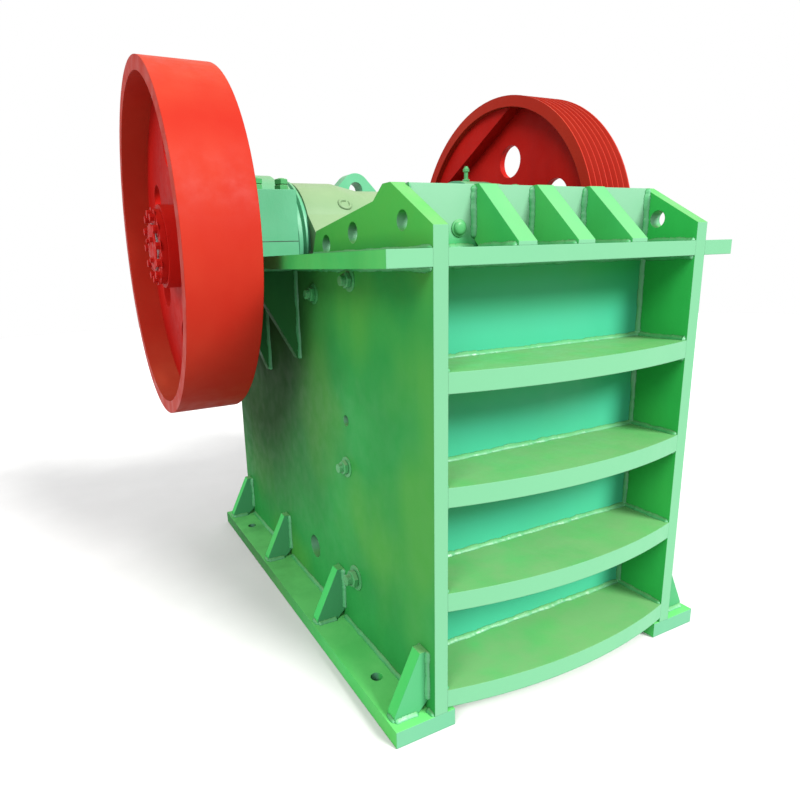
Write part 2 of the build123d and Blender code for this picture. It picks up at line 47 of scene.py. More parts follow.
# Welds
weld_leg = 0.013
gusset_weld_leg = 0.014
flange_weld_leg = 0.009
thin_weld_leg = 0.010
weld_step = 0.006
weld_ripple = 0.011
weld_inset = 0.004
weld_sharp = 60
fine_wave, coarse_wave = 90, 22

# Ends of welds beside gussets, reliefs and edges
shortest_bay = 0.05
lowest_rib_gap = 0.03
gusset_toe_gap = 0.006
gusset_root_gap = 0.028
gusset_foot_gap = 0.030
foot_relief = 0.040
seat_weld_gap = 0.010
ear_end_y = -0.190
ear_weld_top = 1.718

# Bolts through the side plates, as (distance behind the front edge, level)
cheek_bolts = ((0.842, 1.394), (0.518, 1.452), (0.600, 0.746))
cheek_washer_radius = 0.040
cheek_nut_flats = 0.050
cheek_stud_radius = 0.018
wedge_bolt = (0.555, 0.295)
wedge_washer_radius = 0.050
wedge_nut_flats = 0.062
wedge_stud_radius = 0.022
washer_thickness = 0.0045

# Hexagon heads and nuts, as shares of their width across flats
hexagon_chamfer = 0.06
head_height = 0.62
collar_height = 0.09
collar_radius = 0.98
nut_height = 0.36

# Double nuts on the bearing caps
stud_reach = 0.322
stud_inner_spread = 0.052
stud_outer_spread = 0.061
stud_nut_flats = 0.052
stud_nut_height = 0.0235
stud_nut_gap, stud_nut_phase = 0.0006, 0.12
ledge_rise = 0.205

# Grease fittings, with profiles as (height, radius)
fitting_foot_flats = 0.034
fitting_foot_height = 0.013
fitting_stem = [(0.012, 0.0105), (0.052, 0.0105)]
fitting_cap_flats = 0.029
fitting_cap_low, fitting_cap_high = 0.050, 0.068
fitting_knob = [(0.067, 0.0115), (0.074, 0.0110), (0.078, 0.0080), (0.079, 0.0030)]

# Bolts of bearing covers and lock rings
cover_bolt_count = 8
cover_bolt_circle = 0.168
cover_bolt_flats = 0.027
ring_bolt_count = 12
ring_bolt_circle = 0.138
ring_bolt_flats = 0.030

# Plates on the ends of the shaft
end_plate_profile = [(0, 0.098), (0.004, 0.098), (0.006, 0.095), (0.006, 0.018), (0.003, 0.011)]
end_plate_thickness = 0.006
end_screw_count = 3
end_screw_circle = 0.056
end_screw_flats = 0.019

# Round bolt heads on the front wall
wall_bolt_places = (-0.330, -0.096, 0.096, 0.330)
wall_bolt_level = 1.605
wall_bolt_radius = 0.022
wall_washer_radius = 0.027
wall_bolt_height = 0.016

# Gasket in the split of each bearing housing
gasket_proud = 0.0012
gasket_half = 0.0012
gasket_round = 0.0004

# Tension rod and its spring
rod_thread_radius = 0.0232
rod_thread_pitch = 0.005
rod_nut_flats = 0.065
rod_nuts_along = ((0.0, 0.036, 0.0), (0.0365, 0.060, 0.4))  # start, end and phase of each
rod_thread_start = 0.058
rod_thread_inset = 0.004
spring_wire = 0.0095
spring_turns = 6
spring_turn_steps, spring_corners = 36, 10
spring_flat_share = 0.10

# Barrel of the swing jaw and the curl of weld on it
barrel_radius, waist_radius = 0.276, 0.245
shoulder, waist_half = 0.220, 0.080
curl_x, curl_angle = -0.228, 143
curl_steps, curl_turn, curl_start = 30, 12, -40
curl_radius, curl_leg = 0.030, 0.008
curl_section = (-40, 10, 50, 90, 130, 170, 220)

# Floor
floor_radius = 14
floor_sides = 64
floor_top, floor_bottom = -0.002, -0.06
floor_tone, floor_shade = (0.57, 0.57, 0.57), (0.55, 0.55, 0.55)
floor_roughness = 0.9

# Lights as (name, direction, spread, power, colour)
suns = (
    ("fill", (0.72, 0.50, -0.62), 26, 2.3, (1.0, 1.0, 1.0)),
    ("key", (-0.35, 0.75, -0.57), 22, 6.4, (1.0, 1.0, 0.97)),
)
sky_strength = 1.0

# Camera, with its focal length and centre in pixels of a square picture
camera_place = (-1.5094, -2.4313, 1.5221)
yaw, pitch, roll = 0.4575, 0.2442, -0.0357
focal, centre_x, centre_y = 608.81, 356.26, 410.79
picture = 800
sensor = 36
far_clip = 60


# Meshes gathered from many small forms
class Shape:
    def __init__(self):
        self.verts = []
        self.faces = []

    def add(self, verts, faces):
        first = len(self.verts)
        self.verts += [tuple(v) for v in verts]
        self.faces += [tuple(first + i for i in face) for face in faces]

    def rings(self, rings):
        """Joins rings of as many points each, with both ends filled."""
        count = len(rings[0])
        verts = [v for ring in rings for v in ring]
        faces = []
        for row in range(len(rings) - 1):
            for i in range(count):
                j = (i + 1) % count
                faces.append((row * count + i, row * count + j,
                              (row + 1) * count + j, (row + 1) * count + i))
        faces.append(tuple(reversed(range(count))))
        faces.append(tuple((len(rings) - 1) * count + i for i in range(count)))
        self.add(verts, faces)


def build(name, shape, material, body, slot, sharp=38):
    """Makes one visible piece that rides on a body. The slot argument is not used."""
    mesh = bpy.data.meshes.new(name)
    mesh.from_pydata(shape.verts, [], shape.faces)
    work = bmesh.new()
    work.from_mesh(mesh)
    bmesh.ops.recalc_face_normals(work, faces=work.faces)
    work.to_mesh(mesh)
    work.free()
    mesh.shade_smooth()
    mesh.set_sharp_from_angle(angle=radians(sharp))
    mesh.materials.append(material)
    obj = bpy.data.objects.new(name, mesh)
    scene.collection.objects.link(obj)
    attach(obj, body)
    return obj


def triad(axis):
    """Two directions square to an axis."""
    axis = Vector(axis).normalized()
    side = Vector((0, 0, 1)) if abs(axis.z) < 0.9 else Vector((0, 1, 0))
    first = axis.cross(side).normalized()
    return first, axis.cross(first).normalized(), axis


def turn(shape, profile, centre, axis, steps=32):
    """Turns a profile of (along, radius) about an axis."""
    u, v, w = triad(axis)
    centre = Vector(centre)
    rings = []
    for along, radius in profile:
        ring = []
        for i in range(steps):
            angle = 2 * pi * i / steps
            ring.append(centre + w * along + (u * cos(angle) + v * sin(angle)) * radius)
        rings.append(ring)
    shape.rings(rings)


def hexagon(shape, centre, axis, flats, low, high, phase=0.0, both=True):
    """A chamfered hexagon from one height to another along an axis."""
    u, v, w = triad(axis)
    centre = Vector(centre)
    inner = flats / 2
    corner = inner / cos(pi / 6)
    chamfer = hexagon_chamfer * flats
    if both:
        rows = [(low, inner * 0.97, inner * 0.97), (low + chamfer * 0.8, corner, inner)]
    else:
        rows = [(low, corner, inner)]
    rows += [(high - chamfer, corner, inner), (high, inner * 0.93, inner * 0.93)]
    rings = []
    for along, at_corner, at_flat in rows:
        ring = []
        for i in range(12):
            radius = at_flat if i % 2 else at_corner
            angle = phase + pi * i / 6
            ring.append(centre + w * along + (u * cos(angle) + v * sin(angle)) * radius)
        rings.append(ring)
    shape.rings(rings)


def bolt(shape, centre, axis, flats, phase=0.0):
    """A hexagon head on its collar."""
    thick = collar_height * flats
    radius = collar_radius * flats
    edge = thick * 0.25
    turn(shape, [(0, radius), (thick - edge, radius), (thick, radius - edge)], centre, axis)
    hexagon(shape, centre, axis, flats, thick, thick + head_height * flats, phase, both=False)


def stud_end(shape, centre, axis, washer, flats, radius, phase=0.0):
    """A washer, a nut and the threaded end that stands out of it."""
    thick = washer_thickness
    edge = 0.001
    high = thick + nut_height * flats
    turn(shape, [(0, washer), (thick - edge, washer), (thick, washer - edge)], centre, axis, 40)
    hexagon(shape, centre, axis, flats, thick, high, phase)
    thread(shape, centre, axis, radius, high - 0.003, high + 0.95 * radius)


def double_nut(shape, centre, axis, flats, height, phase=0.0):
    """Two nuts locked on one stud, whose end is flush with the upper one."""
    hexagon(shape, centre, axis, flats, 0, height, phase)
    hexagon(shape, centre, axis, flats, height + stud_nut_gap, 2 * height, phase + stud_nut_phase)
    turn(shape, [(2 * height - 0.002, 0.30 * flats), (2 * height + 0.001, 0.30 * flats),
                 (2 * height + 0.003, 0.26 * flats)], centre, axis, 24)


def thread(shape, centre, axis, radius, low, high, pitch=0.004):
    """A threaded length, its crests as rings."""
    count = max(1, int((high - low) / pitch))
    profile = [(low, radius * 0.9)]
    for index in range(count):
        along = low + (index + 0.5) * (high - low) / count
        half = (high - low) / count / 2
        profile.append((along - half * 0.9, radius * 0.92))
        profile.append((along, radius))
        profile.append((along + half * 0.9, radius * 0.92))
    profile.append((high, radius * 0.86))
    turn(shape, profile, centre, axis, steps=24)


def bead(shape, start, end, a, b, leg=None):
    """A rippled fillet along a seam. The directions a and b lie along its two faces."""
    leg = weld_leg if leg is None else leg
    start, end, a, b = Vector(start), Vector(end), Vector(a), Vector(b)
    length = (end - start).length
    if length < 3 * weld_step:
        return
    count = max(3, ceil(length / weld_step))
    rings = []
    for index in range(count + 1):
        share = index / count
        point = start.lerp(end, share)
        wave = noise.noise(point * coarse_wave) * 0.24 + noise.noise(point * fine_wave) * 0.20
        ripple = 0.09 * sin(2 * pi * share * length / weld_ripple)
        taper = min(1, 0.55 + min(share, 1 - share) * length / leg)
        size = leg * (1 + wave + ripple) * taper
        skew = 1 + 0.25 * noise.noise(point * 14 + Vector((3, 5, 7)))
        ring = [point, point + a * size * skew]
        for angle in (25, 45, 65):
            bulge = 0.83 if angle == 45 else 0.86
            ring.append(point + (a * cos(radians(angle)) + b * sin(radians(angle))) * size * bulge)
        ring.append(point + b * size / skew)
        rings.append(ring)
    shape.rings(rings)


def solids(node):
    """The boxes of the loose solids in one node, in order of height, then depth, then width."""
    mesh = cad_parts[node].data
    keys = {}
    parent = []

    def root(i):
        while parent[i] != i:
            parent[i] = parent[parent[i]]
            i = parent[i]
        return i

    index = []
    for vertex in mesh.vertices:
        key = tuple(round(c, 5) for c in vertex.co)
        if key not in keys:
            keys[key] = len(parent)
            parent.append(len(parent))
        index.append(keys[key])
    for face in mesh.polygons:
        first = root(index[face.vertices[0]])
        for other in face.vertices[1:]:
            parent[root(index[other])] = first
    groups = {}
    for key, i in keys.items():
        groups.setdefault(root(i), []).append(key)
    boxes = []
    for points in groups.values():
        low = Vector([min(p[k] for p in points) for k in range(3)])
        high = Vector([max(p[k] for p in points) for k in range(3)])
        boxes.append((low, high))
    return sorted(boxes, key=lambda box: (round(box[0].z, 3), round(box[0].y, 3), box[0].x))


# Materials
# Painted shade near the bearings: the paint darkens and loses gloss round a line across the machine,
# for the shade behind the flywheel
painted_shade_centre = (0, 0.62, 1.12)
painted_shade_cover, painted_shade_gloss = 0.9, 0.1
level_blend, coat_blend = 0.08, 0.005
# How far the tops turn to dust and painted light from above
dust_and_top_light_amount = 0.75
band_span = 2.0


def new_material(name):
    material = bpy.data.materials.new(name)
    material.use_nodes = True
    nodes = material.node_tree.nodes
    return material, nodes, material.node_tree.links, nodes["Principled BSDF"]


def noise_node(nodes, links, scale, detail, stretch=(1, 1, 1), roughness=0.55):
    coordinates = nodes.new("ShaderNodeTexCoord")
    mapping = nodes.new("ShaderNodeMapping")
    mapping.inputs["Scale"].default_value = stretch
    texture = nodes.new("ShaderNodeTexNoise")
    texture.inputs["Scale"].default_value = scale
    texture.inputs["Detail"].default_value = detail
    texture.inputs["Roughness"].default_value = roughness
    links.new(coordinates.outputs["Object"], mapping.inputs["Vector"])
    links.new(mapping.outputs["Vector"], texture.inputs["Vector"])
    return texture.outputs["Fac"]


def ramp(nodes, links, source, low, high, from_low=0.35, from_high=0.65):
    """Maps a value to run from low to high, by default over the middle of a noise."""
    node = nodes.new("ShaderNodeMapRange")
    node.inputs["From Min"].default_value = from_low
    node.inputs["From Max"].default_value = from_high
    node.inputs["To Min"].default_value = low
    node.inputs["To Max"].default_value = high
    links.new(source, node.inputs["Value"])
    return node.outputs["Result"]


def mix(nodes, links, factor, first, second):
    node = nodes.new("ShaderNodeMix")
    node.data_type = "RGBA"
    links.new(factor, node.inputs["Factor"])
    for value, socket in ((first, node.inputs["A"]), (second, node.inputs["B"])):
        if isinstance(value, tuple):
            socket.default_value = value + (1,)
        else:
            links.new(value, socket)
    return node.outputs["Result"]


def bump(nodes, links, height, strength, distance, before):
    node = nodes.new("ShaderNodeBump")
    node.inputs["Strength"].default_value = strength
    node.inputs["Distance"].default_value = distance
    links.new(height, node.inputs["Height"])
    links.new(before, node.inputs["Normal"])
    return node.outputs["Normal"]


def soft_edge(nodes, radius):
    node = nodes.new("ShaderNodeBevel")
    node.samples = 4
    node.inputs["Radius"].default_value = radius
    return node.outputs["Normal"]


def object_place(nodes, links, axis):
    """How far along one axis a point of the object lies."""
    places = nodes.new("ShaderNodeTexCoord")
    split = nodes.new("ShaderNodeSeparateXYZ")
    links.new(places.outputs["Object"], split.inputs["Vector"])
    return split.outputs[axis]


def distance_from_painted_shade(nodes, links):
    """How far a point lies from the line across the machine where the painted shade is darkest."""
    places = nodes.new("ShaderNodeTexCoord")
    flat = nodes.new("ShaderNodeVectorMath")
    flat.operation = "MULTIPLY"
    flat.inputs[1].default_value = (0, 1, 1)
    links.new(places.outputs["Object"], flat.inputs[0])
    reach = nodes.new("ShaderNodeVectorMath")
    reach.operation = "DISTANCE"
    reach.inputs[1].default_value = painted_shade_centre
    links.new(flat.outputs["Vector"], reach.inputs[0])
    return reach.outputs["Value"]


def light_and_shade_bands(nodes, links, stops):
    """A colour that runs through a list of (height, tone), for painted light and shade by height."""
    share = ramp(nodes, links, object_place(nodes, links, "Z"), 0, 1, 0, band_span)
    node = nodes.new("ShaderNodeValToRGB")
    links.new(share, node.inputs["Fac"])
    elements = node.color_ramp.elements
    while len(elements) < len(stops):
        elements.new(1.0)
    # Colours follow once every element has its place, as a move can change their order
    for element, (level, tone) in zip(elements, stops):
        element.position = level / band_span
    for element, (level, tone) in zip(elements, stops):
        element.color = (*tone, 1)
    return node.outputs["Color"]


def paint(name, base, shade, top, rough, grain=0.25, edge=0.004, warm=None, ahead=None,
          above=None, painted_shade=None, bands=None, gloss=0.22):
    """Brushed gloss paint: drifting tone, runs, a skin of fine bumps, and paler tops with dust and
    painted light from above.
    Where given, it has warm patches, painted light and shade on faces that look ahead, painted light
    above a level, painted shade with less gloss near the bearings, and painted light and shade in bands
    by height."""
    material, nodes, links, shader = new_material(name)
    drift = ramp(nodes, links, noise_node(nodes, links, 2.3, 3), 0, 1, 0.30, 0.70)
    tone = mix(nodes, links, drift, base, shade)
    if warm is not None:
        patch = ramp(nodes, links, noise_node(nodes, links, 1.7, 2, (1, 1, 0.8)), 0, 0.9, 0.45, 0.62)
        tone = mix(nodes, links, patch, tone, warm)
    runs = ramp(nodes, links, noise_node(nodes, links, 9, 5, (1, 1, 0.12)), 0, 0.35, 0.5, 0.75)
    tone = mix(nodes, links, runs, tone, shade)
    geometry = nodes.new("ShaderNodeNewGeometry")
    split = nodes.new("ShaderNodeSeparateXYZ")
    links.new(geometry.outputs["Normal"], split.inputs["Vector"])
    # Painted shade: a darker tone and less gloss near the bearings, where the flywheel's shade falls
    if painted_shade is not None:
        near, far, dark = painted_shade
        reach = distance_from_painted_shade(nodes, links)
        tone = mix(nodes, links, ramp(nodes, links, reach, painted_shade_cover, 0, near, far), tone, dark)
        links.new(ramp(nodes, links, reach, painted_shade_gloss * gloss, gloss, near, far),
                  shader.inputs["Specular IOR Level"])
    # Painted light and shade in bands by height, lit at the foot of each bay and shaded under the rib
    # above
    if bands is not None:
        share = ramp(nodes, links, noise_node(nodes, links, 3.1, 3), 0.95, 0.70)
        tone = mix(nodes, links, share, tone, light_and_shade_bands(nodes, links, bands))
    # Painted light: a paler tone above a level, where more light falls
    if above is not None:
        level, pale = above
        height = object_place(nodes, links, "Z")
        share = ramp(nodes, links, height, 0, 1, level, level + level_blend)
        tone = mix(nodes, links, share, tone, pale)
    # Painted light and shade by facing: faces that look ahead take their own tone, paler for the light
    # from the front in most paints and darker painted shade on the gussets
    if ahead is not None:
        forward = ramp(nodes, links, split.outputs["Y"], 0, 0.9, -0.50, -0.95)
        tone = mix(nodes, links, forward, tone, ahead)
    # Dust and painted light from above: faces that look up turn towards the top tone, in patches
    upward = ramp(nodes, links, split.outputs["Z"], 0, dust_and_top_light_amount, 0.55, 0.98)
    dust = ramp(nodes, links, noise_node(nodes, links, 6, 6), 0.55, 1, 0.35, 0.6)
    amount = nodes.new("ShaderNodeMath")
    amount.operation = "MULTIPLY"
    links.new(upward, amount.inputs[0])
    links.new(dust, amount.inputs[1])
    tone = mix(nodes, links, amount.outputs["Value"], tone, top)
    links.new(tone, shader.inputs["Base Color"])
    cloud = noise_node(nodes, links, 14, 6)
    links.new(ramp(nodes, links, cloud, rough - 0.07, rough + 0.12), shader.inputs["Roughness"])
    skin = noise_node(nodes, links, 160, 3)
    wave = noise_node(nodes, links, 24, 4, (1, 1, 0.5))
    normal = bump(nodes, links, wave, grain, 0.0020, soft_edge(nodes, edge))
    links.new(bump(nodes, links, skin, grain * 0.6, 0.0006, normal), shader.inputs["Normal"])
    shader.inputs["Specular IOR Level"].default_value = gloss
    return material


def metal(name, base, shade, rough, grain, scale, metallic, edge=0.003, overpaint=None):
    """Bare metal with spots and pits, and paint beyond a distance from the middle."""
    material, nodes, links, shader = new_material(name)
    spots = ramp(nodes, links, noise_node(nodes, links, scale, 7), 0, 1)
    tone = mix(nodes, links, spots, base, shade)
    shader.inputs["Metallic"].default_value = metallic
    if overpaint is not None:
        start, coat = overpaint
        end = start + coat_blend
        away = nodes.new("ShaderNodeMath")
        away.operation = "ABSOLUTE"
        links.new(object_place(nodes, links, "X"), away.inputs[0])
        away = away.outputs["Value"]
        tone = mix(nodes, links, ramp(nodes, links, away, 0, 1, start, end), tone, coat)
        links.new(ramp(nodes, links, away, metallic, 0, start, end), shader.inputs["Metallic"])
    links.new(tone, shader.inputs["Base Color"])
    wear = noise_node(nodes, links, scale * 2.5, 6)
    links.new(ramp(nodes, links, wear, rough - 0.1, rough + 0.15), shader.inputs["Roughness"])
    pits = noise_node(nodes, links, scale * 8, 6, roughness=0.7)
    links.new(bump(nodes, links, pits, grain, 0.0015, soft_edge(nodes, edge)), shader.inputs["Normal"])
    return material


# Painted light: a whiter tone on faces that look ahead, for the light and reflection from the front
lit_front_tone = (0.106, 0.262, 0.156)
# Dust with painted light from above: the paler tone of faces that look up; every paint's top tone does
# the same
dust_and_top_light_tone = (0.135, 0.272, 0.112)
# Each painted_shade argument below is painted shade near the bearings, for the shade behind the
# flywheel
green = paint("green_paint", (0.040, 0.345, 0.085), (0.028, 0.275, 0.060), dust_and_top_light_tone, 0.40,
              warm=(0.052, 0.335, 0.075), ahead=lit_front_tone,
              painted_shade=(0.30, 0.90, (0.018, 0.060, 0.020)), gloss=0.10)
# The gussets' ahead tone is darker: painted shade on their faces that look forward
gusset_green = paint("gusset_paint", (0.040, 0.400, 0.090), (0.028, 0.320, 0.062), dust_and_top_light_tone, 0.40,
                     warm=(0.052, 0.380, 0.080), ahead=(0.047, 0.210, 0.095), gloss=0.08)
base_green = paint("base_paint", (0.048, 0.400, 0.085), (0.034, 0.310, 0.060), (0.125, 0.500, 0.140),
                   0.42, warm=(0.070, 0.380, 0.070), ahead=(0.085, 0.235, 0.150),
                   painted_shade=(0.98, 1.60, (0.024, 0.080, 0.028)), gloss=0.10)
# Painted shade: a dark copy of the frame green for the seat gussets, which sit in the shade behind the
# flywheel
shaded_seat_green = paint("shaded_seat_paint", (0.020, 0.125, 0.034), (0.014, 0.085, 0.024), (0.060, 0.180, 0.060),
                   0.50, warm=(0.026, 0.120, 0.026), gloss=0.04)
# Painted light: the side plate is paler above 1.52 m, on its upper part
side_green = paint("side_paint", (0.022, 0.235, 0.050), (0.015, 0.180, 0.034), dust_and_top_light_tone, 0.42,
                   warm=(0.046, 0.228, 0.036), ahead=lit_front_tone,
                   above=(1.52, (0.046, 0.300, 0.050)),
                   painted_shade=(0.42, 1.08, (0.020, 0.050, 0.017)), gloss=0.06)
far_green = paint("far_paint", (0.024, 0.330, 0.062), (0.018, 0.270, 0.045), dust_and_top_light_tone, 0.42,
                  warm=(0.030, 0.320, 0.055), ahead=lit_front_tone, gloss=0.10)
# Each bay of the front wall has painted light and shade: lit blue green at its foot, deep green painted
# shade under the rib above
bay_lit_tone, bay_shaded_tone = (0.040, 0.310, 0.185), (0.018, 0.255, 0.058)
bay_foot, bay_head, bay_top = 0.10, 0.02, 1.46
bay_light_and_shade_stops = []
for low, high in solids("front_ribs"):
    bay_light_and_shade_stops += [(low.z - bay_head, bay_shaded_tone), (high.z, bay_lit_tone), (high.z + bay_foot, bay_lit_tone)]
bay_light_and_shade_stops.append((bay_top, bay_shaded_tone))
# Painted light: the wall is paler above 1.545 m, above the top flange
wall_green = paint("wall_paint", (0.038, 0.300, 0.165), (0.030, 0.250, 0.128), (0.16, 0.30, 0.14),
                   0.36, warm=(0.046, 0.290, 0.150), above=(1.545, (0.130, 0.290, 0.180)),
                   bands=bay_light_and_shade_stops, gloss=0.12)
housing_green = paint("housing_paint", (0.080, 0.305, 0.170), (0.058, 0.250, 0.125),
                      (0.150, 0.290, 0.130), 0.38, 0.5)
barrel_green = paint("barrel_paint", (0.155, 0.245, 0.130), (0.118, 0.205, 0.098),
                     (0.180, 0.250, 0.130), 0.46, 0.45, gloss=0.18)
weld_green = paint("weld_paint", (0.048, 0.285, 0.100), (0.028, 0.215, 0.060), (0.13, 0.28, 0.11),
                   0.36, 0.5, ahead=(0.100, 0.290, 0.160), gloss=0.30)
red = paint("rim_paint", (0.290, 0.020, 0.009), (0.270, 0.011, 0.005), (0.330, 0.050, 0.022),
            0.50, 0.2, gloss=0.06)
web_red = paint("web_paint", (0.360, 0.008, 0.005), (0.270, 0.004, 0.003), (0.40, 0.015, 0.008),
                0.50, 0.8, gloss=0.05)
wear_iron = metal("wear_iron", (0.090, 0.088, 0.086), (0.050, 0.045, 0.042), 0.62, 0.6, 12, 0.6)
steel_tones = ((0.42, 0.42, 0.43), (0.26, 0.255, 0.25))
shaft_steel = metal("shaft_steel", *steel_tones, 0.34, 0.12, 20, 1.0,
                    overpaint=(1.06, (0.340, 0.009, 0.005)))
steel = metal("turned_steel", *steel_tones, 0.34, 0.12, 20, 1.0)
bolt_green = paint("bolt_paint", (0.075, 0.300, 0.115), (0.034, 0.205, 0.062), (0.20, 0.33, 0.17),
                   0.34, 0.4, 0.0015)
plated = metal("plated_steel", (0.50, 0.47, 0.36), (0.33, 0.30, 0.24), 0.36, 0.2, 40, 0.9, 0.001)
spring_black = metal("spring_black", (0.030, 0.031, 0.034), (0.055, 0.050, 0.045), 0.45, 0.3, 30, 0.2)
seal_black = metal("seal_black", (0.020, 0.022, 0.020), (0.040, 0.055, 0.040), 0.60, 0.4, 30, 0.0)

# Materials of the nodes, and the frame's own green for the rest
looks = {
    "side_plate_left": side_green,
    "side_plate_right": far_green,
    "front_wall": wall_green,
    "base_flange_left": base_green,
    "base_flange_right": base_green,
    "base_gussets_left": gusset_green,
    "base_gussets_right": gusset_green,
    "seat_gussets_left": shaded_seat_green,
    "seat_gussets_right": shaded_seat_green,
    "bearing_base_left": housing_green,
    "bearing_base_right": housing_green,
    "bearing_cap_left": housing_green,
    "bearing_cap_right": housing_green,
    "bearing_covers": housing_green,
    "swing_jaw": barrel_green,
    "jaw_webs": barrel_green,
    "jaw_end_rings": housing_green,
    "lifting_lug": housing_green,
    "flywheel_rim": red,
    "pulley_rim": red,
    "flywheel_web": web_red,
    "pulley_web": web_red,
    "flywheel_counterweight": web_red,
    "pulley_counterweight": web_red,
    "wheel_lock_rings": web_red,
    "fixed_jaw_plate": wear_iron,
    "moving_jaw_plate": wear_iron,
    "cheek_plates_left": wear_iron,
    "cheek_plates_right": wear_iron,
    "eccentric_shaft": shaft_steel,
    "tension_rod": steel,
    "toggle_plate": wear_iron,
    "adjusting_block": wear_iron,
    "shim_pack": steel,
}
for node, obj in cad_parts.items():
    for slot in obj.material_slots:
        slot.material = looks.get(node, green)

# Places read from the frame
side_low, side_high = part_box("side_plate_right")
inner_x, outer_x = side_low.x, side_high.x
front_y, rear_y = side_low.y, side_high.y
wall_low, wall_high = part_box("front_wall")
wall_y, wall_top = wall_low.y, wall_high.z
flange_low, flange_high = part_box("top_flange_right")
flange_top, flange_under = flange_high.z, flange_low.z
base_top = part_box("base_flange_right")[1].z
cap_low, cap_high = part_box("bearing_cap_right")
cap_middle = (cap_low.x + cap_high.x) / 2
shaft_y = (cap_low.y + cap_high.y) / 2
shaft_z = cap_low.z
ledge_level = shaft_z + ledge_rise
cover_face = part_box("bearing_covers")[1].x
seat_low, seat_high = [box for box in solids("bearing_seats") if box[0].x > 0][0]
ribs = solids("front_ribs")
gussets = solids("upper_gussets")
base_gussets = solids("base_gussets_right")
seat_gussets = solids("seat_gussets_right")
UP, DOWN = Vector((0, 0, 1)), Vector((0, 0, -1))
AHEAD, BACK = Vector((0, -1, 0)), Vector((0, 1, 0))


# Welds
def front_welds():
    """Beads where the bowed ribs, the wall and the side plates meet."""
    shape = Shape()
    levels = ribs + [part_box("top_flange_front")]
    for low, high in levels:
        for z, direction in ((high.z, UP), (low.z, DOWN)):
            if z < base_top + lowest_rib_gap:
                continue
            if z < flange_top - 0.001:
                bead(shape, (-inner_x, wall_y, z), (inner_x, wall_y, z), AHEAD, direction)
            for side in (-1, 1):
                inward = Vector((-side, 0, 0))
                bead(shape, (side * inner_x, wall_y, z), (side * inner_x, front_y + weld_inset, z),
                     inward, direction)
    edges = [base_top] + [value for low, high in levels for value in (low.z, high.z)] + [wall_top]
    for side in (-1, 1):
        inward = Vector((-side, 0, 0))
        for index in range(0, len(edges) - 1, 2):
            low, high = edges[index], edges[index + 1]
            if high - low > shortest_bay:
                bead(shape, (side * inner_x, wall_y, low), (side * inner_x, wall_y, high),
                     inward, AHEAD)
        bead(shape, (side * inner_x, wall_y, flange_top), (side * inner_x, wall_y, ear_weld_top),
             inward, AHEAD, gusset_weld_leg)
    return shape


def gusset_welds():
    """Beads round the sloping gussets above the top flange."""
    shape = Shape()
    cuts = [-inner_x]
    for low, high in sorted(gussets, key=lambda box: box[0].x):
        for x, side in ((low.x, -1), (high.x, 1)):
            outward = Vector((side, 0, 0))
            bead(shape, (x, front_y + gusset_toe_gap, flange_top),
                 (x, wall_y - gusset_root_gap, flange_top), outward, UP)
            bead(shape, (x, wall_y, flange_top + gusset_foot_gap), (x, wall_y, wall_top - weld_inset),
                 outward, AHEAD, gusset_weld_leg)
            cuts.append(x)
    cuts.append(inner_x)
    for index in range(0, len(cuts), 2):
        bead(shape, (cuts[index], wall_y, flange_top), (cuts[index + 1], wall_y, flange_top), AHEAD, UP)
    return shape


def side_welds(side):
    """Beads on the outside of one side plate: top flange, seat, gussets and base flange."""
    shape = Shape()
    out = Vector((side, 0, 0))
    x = side * outer_x
    bead(shape, (x, front_y + weld_inset, flange_top), (x, ear_end_y, flange_top), out, UP,
         flange_weld_leg)
    stops = [front_y + weld_inset]
    for low, high in sorted(seat_gussets, key=lambda box: box[0].y):
        for y, direction in ((low.y, AHEAD), (high.y, BACK)):
            under = high.z
            if direction.y > 0 and low.y < seat_low.y or direction.y < 0 and high.y > seat_high.y:
                under = seat_low.z
            bead(shape, (x, y, low.z), (x, y, under), out, direction)
            reach = min(high.x, seat_high.x if under == seat_low.z else high.x)
            bead(shape, (x + side * seat_weld_gap, y, under), (side * (reach - weld_inset), y, under),
                 direction, DOWN, thin_weld_leg)
            stops.append(y)
    stops.append(rear_y - weld_inset)
    for index in range(0, len(stops), 2):
        level = flange_under if index in (0, len(stops) - 2) else seat_low.z
        bead(shape, (x, stops[index], level), (x, stops[index + 1], level), out, DOWN)
    stops = [front_y + weld_inset]
    for low, high in sorted(base_gussets, key=lambda box: box[0].y):
        for y, direction in ((low.y, AHEAD), (high.y, BACK)):
            bead(shape, (x, y, base_top + foot_relief), (x, y, high.z), out, direction)
            bead(shape, (x + side * foot_relief, y, base_top), (side * high.x, y, base_top),
                 direction, UP)
            stops.append(y)
        tip = side * high.x
        bead(shape, (tip, low.y, base_top), (tip, high.y, base_top), out, UP, thin_weld_leg)
    stops.append(rear_y - weld_inset)
    for index in range(0, len(stops), 2):
        bead(shape, (x, stops[index], base_top), (x, stops[index + 1], base_top), out, UP)
    return shape


def rear_welds():
    """Beads where the rear wall, its ribs and the side plates meet."""
    shape = Shape()
    rear_wall_y, rear_wall_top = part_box("rear_wall")[1].y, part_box("rear_wall")[1].z
    levels = solids("rear_ribs")
    for low, high in levels:
        for z, direction in ((high.z, UP), (low.z, DOWN)):
            bead(shape, (-inner_x, rear_wall_y, z), (inner_x, rear_wall_y, z), BACK, direction)
            for side in (-1, 1):
                bead(shape, (side * inner_x, rear_wall_y, z), (side * inner_x, rear_y - weld_inset, z),
                     Vector((-side, 0, 0)), direction)
    edges = [base_top] + [value for low, high in levels for value in (low.z, high.z)] + [rear_wall_top]
    for side in (-1, 1):
        for index in range(0, len(edges), 2):
            bead(shape, (side * inner_x, rear_wall_y, edges[index]),
                 (side * inner_x, rear_wall_y, edges[index + 1]), Vector((-side, 0, 0)), BACK)
    return shape


